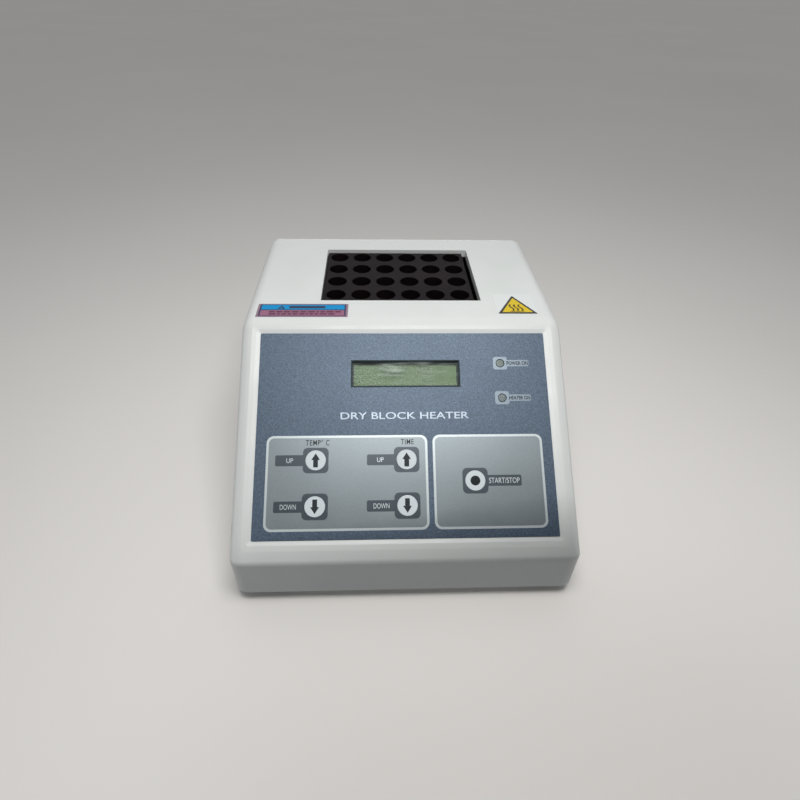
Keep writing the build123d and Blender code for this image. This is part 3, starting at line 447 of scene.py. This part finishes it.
def lettered(name, words, centre, size, material, layer=1, weight=0.0, spacing=1.0):
    """Panel words in the built-in font, fitted to a width and height in millimetres."""
    width, height = size
    curve = bpy.data.curves.new(name, "FONT")
    curve.body = words
    curve.size = height * MM
    curve.offset = weight * MM
    curve.space_character = spacing
    curve.resolution_u = 6
    curve.extrude = INK / 2
    mesh = as_mesh(curve, name)
    low = Vector([min(v.co[i] for v in mesh.vertices) for i in range(3)])
    high = Vector([max(v.co[i] for v in mesh.vertices) for i in range(3)])
    middle, drawn = (low + high) / 2, high - low
    fit = Matrix.Diagonal((width * MM / drawn.x, height * MM / drawn.y, 1, 1))
    shift = Matrix.Translation((centre[0] * MM, centre[1] * MM, INK * (layer + 0.5)))
    mesh.transform(shift @ fit @ Matrix.Translation(-middle))
    finish_piece(mesh, name, PANEL, material, "case")


# ---------------------------------------------------------------- sloping panel
panel_low, panel_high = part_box("printed_panel")
FILM_THICKNESS, FILM_SUNK = 0.6 * MM, 0.3 * MM  # and how far it lies below the case's surface
# The panel's own frame: x across, y up the slope, z out of the film, from its top edge's middle
PANEL = Matrix.Translation((
    (panel_low.x + panel_high.x) / 2,
    panel_high.y - FILM_THICKNESS * sin(SLOPE_ANGLE),
    panel_high.z,
)) @ Matrix.Rotation(SLOPE_ANGLE, 4, "X")
LABEL_START = 8.05  # millimetres down the slope from the crease


def down(d):
    """Panel y in millimetres for a distance down the slope from the crease."""
    return LABEL_START - d


# Places are (across, down the slope from the crease), and sizes (across, along the slope), in mm
KEYS = {
    "temp_up": (-50.1, 83.1),
    "temp_down": (-50.1, 108.4),
    "time_up": (0.45, 83.1),
    "time_down": (0.45, 108.4),
    "start_stop": (38.5, 95.3),
}
KEY_HOLE = 5.8  # radius
KEY_TOP = PANEL @ Matrix.Translation((0, 0, 0.35 * MM))  # the frame of the key caps' upper faces
KEY_SQUARE, KEY_SQUARE_RADIUS = 14.2, 2.6
KEY_TAB_HEIGHT, TAB_CORNER = 6.1, 0.6
START_DOT = 2.75  # radius
# Each key's legend: how far its tab runs, its words, their size, and where their middle lies
KEY_LEGENDS = {
    "temp_up": (-72.4, "UP", (3.7, 2.6), -64.4),
    "temp_down": (-72.5, "DOWN", (8.7, 2.8), -64.6),
    "time_up": (-21.7, "UP", (3.7, 2.6), -14.2),
    "time_down": (-21.8, "DOWN", (8.7, 2.8), -13.8),
    "start_stop": (64.5, "START/STOP", (17.2, 3.0), 54.8),
}
HEADINGS = {
    "temp": ("TEMP° C", (-49.2, 73.1), (13.2, 3.3)),
    "time": ("TIME", (1.0, 73.0), (7.2, 3.0)),
}
FIELDS = {"temperature_time": (-32.6, 89.8), "start_stop": (46.5, 62.5)}  # middle and width
FIELD_TOP, FIELD_BOTTOM = 69.2, 121.4
FIELD_BORDER = 1.3
FIELD_OUTER_RADIUS, FIELD_INNER_RADIUS = 4.0, 3.0
DISPLAY, DISPLAY_OPENING = (0.9, 32.9), (62.0, 15.0)
DISPLAY_SHADE_RIM, DISPLAY_RADIUS = 0.75, 0.3
TITLE, TITLE_SIZE = (0.0, 57.9), (73.2, 4.0)
LAMPS = {"power": (56.6, 26.8), "heater": (56.6, 47.8)}
LAMP_HOLE = 2.6  # radius
LAMP_BOX, LAMP_BOX_RADIUS = (8.3, 7.8), 1.3
LAMP_TAB_REACH, LAMP_TAB_HEIGHT = 16.9, 3.9
LAMP_LEGENDS = {"power": ("POWER ON", 12.6), "heater": ("HEATER ON", 12.3)}
LAMP_WORDS_REACH, LAMP_WORDS_HEIGHT = 10.2, 2.3


def field(name, x, width):
    """A silver field with its pale border, cut through at the keys."""
    height = FIELD_BOTTOM - FIELD_TOP
    middle = (x, down((FIELD_TOP + FIELD_BOTTOM) / 2))
    holes = [circle(KEY_HOLE, kx, down(kd)) for kx, kd in KEYS.values()
             if abs(kx - x) < width / 2]
    outer = rounded(width, height, FIELD_OUTER_RADIUS, *middle)
    inner = rounded(width - 2 * FIELD_BORDER, height - 2 * FIELD_BORDER, FIELD_INNER_RADIUS,
                    *middle)
    printed(f"{name}_border", [outer, inner], PANEL, FIELD_EDGE)
    printed(f"{name}_field", [inner, *holes], PANEL, FIELD)


def badge(x, y, size, radius, far, tab_height):
    """Outline of a round-cornered box with a tab that runs out to x = far."""
    width, height = size
    box = rounded(width, height, radius, x, y)
    way = 1 if far > x else -1
    root, near = x + way * width / 2, far - way * TAB_CORNER
    low, high = y - way * tab_height / 2, y + way * tab_height / 2
    tab = [(root, low), (near, low), (far, low + way * TAB_CORNER),
           (far, high - way * TAB_CORNER), (near, high), (root, high)]
    split = len(box) if way > 0 else len(box) // 2
    return box[:split] + tab + box[split:]


def key_legend(name, far, words, size, words_x):
    """The dark square round a key, with its named tab."""
    x, d = KEYS[name]
    y = down(d)
    outline = badge(x, y, (KEY_SQUARE, KEY_SQUARE), KEY_SQUARE_RADIUS, far, KEY_TAB_HEIGHT)
    printed(f"{name}_legend", [outline, circle(KEY_HOLE, x, y)], PANEL, KEY_SURROUND, layer=1)
    lettered(f"{name}_words", words, (words_x, y), size, WHITE_INK, layer=2)


def arrow(name, x, d):
    """The arrow on a key cap, which points up or down as the key's name says."""
    half_length, head_length, shaft_half = 3.9, 3.7, 1.3
    neck, head_half = half_length - head_length, head_length / 1.55
    points = [(0, half_length), (head_half, neck), (shaft_half, neck), (shaft_half, -half_length),
              (-shaft_half, -half_length), (-shaft_half, neck), (-head_half, neck)]
    turn = 1 if name.endswith("up") else -1
    loop = [(x + px, down(d) + turn * py) for px, py in points]
    printed(f"{name}_arrow", [loop], KEY_TOP, LEGEND_INK, name)


for name, place in FIELDS.items():
    field(name, *place)
for name, legend in KEY_LEGENDS.items():
    key_legend(name, *legend)
    if name != "start_stop":
        arrow(name, *KEYS[name])
start_x, start_d = KEYS["start_stop"]
printed("start_stop_dot", [circle(START_DOT, start_x, down(start_d))], KEY_TOP, DARK_INK,
        "start_stop")
for name, (words, (x, d), size) in HEADINGS.items():
    lettered(f"{name}_heading", words, (x, down(d)), size, LEGEND_INK, weight=0.03, spacing=1.15)

# A dark ring printed round the display window: painted shade at its recessed edge.
middle = (DISPLAY[0], down(DISPLAY[1]))
printed("display_shade_ring", [
    rounded(DISPLAY_OPENING[0] + 2 * rim, DISPLAY_OPENING[1] + 2 * rim, DISPLAY_RADIUS, *middle)
    for rim in (DISPLAY_SHADE_RIM, 0)], PANEL, DISPLAY_EDGE_SHADE)
lettered("title", "DRY BLOCK HEATER", (TITLE[0], down(TITLE[1])), TITLE_SIZE, TITLE_INK, layer=0,
         weight=0.03)

for name, (words, width) in LAMP_LEGENDS.items():
    x, d = LAMPS[name]
    y = down(d)
    outline = badge(x, y, LAMP_BOX, LAMP_BOX_RADIUS, x + LAMP_TAB_REACH, LAMP_TAB_HEIGHT)
    printed(f"{name}_legend", [outline, circle(LAMP_HOLE, x, y)], PANEL, LAMP_SURROUND)
    lettered(f"{name}_words", words, (x + LAMP_WORDS_REACH, y), (width, LAMP_WORDS_HEIGHT),
             LAMP_WORDS, weight=0.05)


# ---------------------------------------------------------------- stickers
def flat_place(node):
    """The frame of a flat sticker: millimetres from its centre on its top face."""
    low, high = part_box(node)
    return Matrix.Translation(((low.x + high.x) / 2, (low.y + high.y) / 2, high.z))


def caution_sticker():
    """A header with a warning triangle and a bar, over a body with two rows of dashes."""
    place = flat_place("caution_sticker")
    width, height, header, line = 52.2, 13.4, 6.4, 0.9
    body_y = -header / 2
    header_y = (height - header) / 2
    printed("caution_frame", [rounded(width, height, 0.3)], place, CAUTION_LINE)
    printed("caution_header", [rounded(width - 2 * line, header - line, 0.2, 0, header_y)],
            place, CAUTION_BLUE, layer=1)
    printed("caution_body", [rounded(width - 2 * line, height - header - line, 0.2, 0, body_y)],
            place, CAUTION_MAUVE, layer=1)

    x = -13.1
    triangle = [(x - 2.4, header_y - 2.0), (x + 2.4, header_y - 2.0), (x, header_y + 2.1)]
    inside = [(x - 0.8, header_y - 1.2), (x + 0.8, header_y - 1.2), (x, header_y + 0.3)]
    printed("caution_triangle", [triangle, inside], place, CAUTION_LINE, layer=2)
    bar = rounded(22.0, 2.8, 0.4, 2.5, header_y)
    printed("caution_bar", [bar], place, CAUTION_LINE, layer=2)

    chance = random.Random(5)
    dash_height, dash_gap, row_pitch, start = 1.4, 0.8, 2.4, -20.0
    dashes = []
    for row, end in enumerate((20.0, 19.0)):
        x, y = start, body_y + row_pitch * (0.5 - row)
        while x < end:
            length = chance.uniform(1.4, 4.6)
            dashes.append(rounded(length, dash_height, 0.25, x + length / 2, y, 3))
            x += length + dash_gap
    printed("caution_lines", dashes, place, CAUTION_WORDS, layer=2)


def triangle_loop(base, height, corner, y):
    """A triangle, point up, its corners rounded."""
    steps = 6
    tips = [Vector((-base / 2, -height / 2 + y)), Vector((base / 2, -height / 2 + y)),
            Vector((0, height / 2 + y))]
    points = []
    for i, tip in enumerate(tips):
        before, after = (tips[i - 1] - tip).normalized(), (tips[(i + 1) % 3] - tip).normalized()
        for step in range(steps + 1):
            t = step / steps
            start, end = tip + before * corner, tip + after * corner
            points.append(tuple((1 - t) ** 2 * start + 2 * t * (1 - t) * tip + t ** 2 * end))
    return points


def hot_sticker():
    """A dark-edged yellow triangle with three rising waves over a line."""
    place = flat_place("hot_surface_sticker")
    outer = triangle_loop(24.6, 22.0, 1.0, -1.2)
    inner = triangle_loop(19.2, 17.4, 1.0, -1.7)
    printed("hot_border", [outer, inner], place, HOT_LINE)
    printed("hot_triangle", [inner], place, HOT_YELLOW)

    pitch, swing, lean, half_width = 2.8, 0.8, 0.6, 0.6
    foot, rise, steps = -8.8, 7.6, 16
    for i in (-1, 0, 1):
        spine = [(pitch * i + swing * sin(2 * pi * t) - lean * (t - 0.5), foot + rise * t)
                 for t in (step / steps for step in range(steps + 1))]
        left = [(x - half_width, y) for x, y in spine]
        right = [(x + half_width, y) for x, y in spine]
        printed(f"hot_wave_{i + 2}", [left + right[::-1]], place, HOT_MARK, layer=1)
    base_line = rounded(9.0, 0.7, 0.3, 0, -9.5)
    printed("hot_base_line", [base_line], place, HOT_MARK, layer=1)


caution_sticker()
hot_sticker()


# ---------------------------------------------------------------- stage, light and camera
SKY = (0.97, 0.985, 1.0, 1)
SKY_LOW, SKY_HIGH, SKY_LEAN, BACKDROP = 0.065, 0.62, radians(25), 0.55
KEY_LIGHT = {"place": (0.03, -0.18, 0.60), "aim": (0, -0.03, 0.08), "size": (0.32, 0.24),
             "power": 2.08, "colour": (1.0, 0.995, 0.98)}
FILL_LIGHT = {"aim": (0, 0, 0.06), "size": (0.5, 0.25), "power": 0.55}
FILLS = {"left": (-0.7, 0.05, 0.08), "right": (0.7, 0.05, 0.08), "back": (0, 0.75, 0.08)}
FLAG_PLACE, FLAG_SIZE, FLAG_TURN = (0.06, -0.202, 0.14), (0.30, 0.15), radians(8)
FLOOR_SIZE = 28.0


def sheet(name, width, length, material):
    """A flat rectangle on the world's origin, part of the stage."""
    mesh = bpy.data.meshes.new(name)
    x, y = width / 2, length / 2
    mesh.from_pydata([(-x, -y, 0), (x, -y, 0), (x, y, 0), (-x, y, 0)], [], [(0, 1, 2, 3)])
    mesh.materials.append(material)
    made = bpy.data.objects.new(name, mesh)
    bpy.context.scene.collection.objects.link(made)
    return made


def pale_floor():
    """Pale paper."""
    made = Finish("floor_paper")
    cloud = made.noise(0.4, 3.0)
    made.set("Base Color", made.ramp(cloud, (0.3, (0.87, 0.84, 0.81)), (0.7, (0.90, 0.87, 0.84))))
    made.set("Roughness", made.span(cloud, 0.75, 0.85))
    floor = sheet("floor", FLOOR_SIZE, FLOOR_SIZE, made.material)
    floor.visible_diffuse = False  # so its glow doesn't brighten the object's front wall
    return floor


def softbox(name, place, aim, size, power, colour=(1, 1, 1)):
    """A soft rectangular light that the camera doesn't see."""
    light = bpy.data.lights.new(name, "AREA")
    light.shape = "RECTANGLE"
    light.size, light.size_y = size
    light.energy = power
    light.color = colour
    lamp = bpy.data.objects.new(name, light)
    lamp.location = place
    lamp.rotation_euler = (Vector(aim) - Vector(place)).to_track_quat("-Z", "Y").to_euler()
    lamp.visible_camera = False
    bpy.context.scene.collection.objects.link(lamp)
    return lamp


def link_light(lamp, floor, state, ignored=None):
    """A light reaches only the floor (INCLUDE) or all but the floor (EXCLUDE).

    An ignored card doesn't shade it.
    """
    reach = bpy.data.collections.new(f"{lamp.name}_reach")
    reach.objects.link(floor)
    lamp.light_linking.receiver_collection = reach
    reach.collection_objects[0].light_linking.link_state = state
    if ignored:
        shade_from = bpy.data.collections.new(f"{lamp.name}_shade_from")
        shade_from.objects.link(ignored)
        lamp.light_linking.blocker_collection = shade_from
        shade_from.collection_objects[0].light_linking.link_state = "EXCLUDE"


def overhead_glow():
    """A soft sky, brightest overhead and towards the back. The camera sees a plain backdrop."""
    made = bpy.data.worlds.new("studio")
    made.use_nodes = True
    nodes, links = made.node_tree.nodes, made.node_tree.links
    background = nodes["Background"]
    background.inputs["Color"].default_value = SKY
    place = nodes.new("ShaderNodeTexCoord")
    height = nodes.new("ShaderNodeVectorMath")
    height.operation = "DOT_PRODUCT"
    height.inputs[1].default_value = (0, sin(SKY_LEAN), cos(SKY_LEAN))
    steep = nodes.new("ShaderNodeMath")
    steep.operation = "POWER"
    steep.use_clamp = True
    steep.inputs[1].default_value = 2.0
    glow = nodes.new("ShaderNodeMapRange")
    glow.inputs["To Min"].default_value = SKY_LOW
    glow.inputs["To Max"].default_value = SKY_HIGH
    seen = nodes.new("ShaderNodeBackground")
    seen.inputs["Color"].default_value = SKY
    seen.inputs["Strength"].default_value = BACKDROP
    path = nodes.new("ShaderNodeLightPath")
    either = nodes.new("ShaderNodeMixShader")
    links.new(place.outputs["Generated"], height.inputs[0])
    links.new(height.outputs["Value"], steep.inputs[0])
    links.new(steep.outputs[0], glow.inputs["Value"])
    links.new(glow.outputs[0], background.inputs["Strength"])
    links.new(path.outputs["Is Camera Ray"], either.inputs[0])
    links.new(background.outputs[0], either.inputs[1])
    links.new(seen.outputs[0], either.inputs[2])
    links.new(either.outputs[0], nodes["World Output"].inputs["Surface"])
    bpy.context.scene.world = made


def flag():
    """A black card that the camera doesn't see, which keeps the key light off the front."""
    made = Finish("flag_cloth")
    weave = made.noise(0.002)
    made.set("Base Color", made.ramp(
        weave, (0.3, (0.010, 0.008, 0.007)), (0.7, (0.020, 0.016, 0.014))))
    card = sheet("front_flag", *FLAG_SIZE, made.material)
    card.matrix_world = Matrix.Translation(FLAG_PLACE) @ Matrix.Rotation(FLAG_TURN, 4, "Z")
    card.visible_camera = False
    return card


CAMERA_YAW, CAMERA_PITCH, CAMERA_ROLL = radians(3.21), radians(39.83), radians(1.71)
CAMERA_FROM_CREASE = Vector((-16.09, -278.03, 170.51)) * MM
LENS, SENSOR = 24.40, 36.0


def camera():
    """Looks down at the keypad from in front, with a slight roll, as a hand-held phone does."""
    crease = PANEL @ Vector((0, LABEL_START * MM, FILM_SUNK))
    yaw, pitch, roll = CAMERA_YAW, CAMERA_PITCH, CAMERA_ROLL
    forward = Vector((sin(yaw) * cos(pitch), cos(yaw) * cos(pitch), -sin(pitch)))
    side = Vector((cos(yaw), -sin(yaw), 0))
    above = side.cross(forward)
    right = side * cos(roll) + above * sin(roll)
    up = above * cos(roll) - side * sin(roll)
    data = bpy.data.cameras.new("camera")
    data.lens, data.sensor_width = LENS, SENSOR
    data.clip_start = 0.01
    made = bpy.data.objects.new("camera", data)
    turn = Matrix((right, up, -forward)).transposed().to_4x4()
    made.matrix_world = Matrix.Translation(crease + CAMERA_FROM_CREASE) @ turn
    bpy.context.scene.collection.objects.link(made)
    bpy.context.scene.camera = made


floor, front_flag = pale_floor(), flag()
link_light(softbox("key", **KEY_LIGHT), floor, "EXCLUDE")
link_light(softbox("floor_key", **KEY_LIGHT), floor, "INCLUDE", front_flag)
for side, place in FILLS.items():
    link_light(softbox(f"fill_{side}", place, **FILL_LIGHT), floor, "EXCLUDE")
overhead_glow()
camera()
bpy.context.scene.view_settings.view_transform = "Standard"
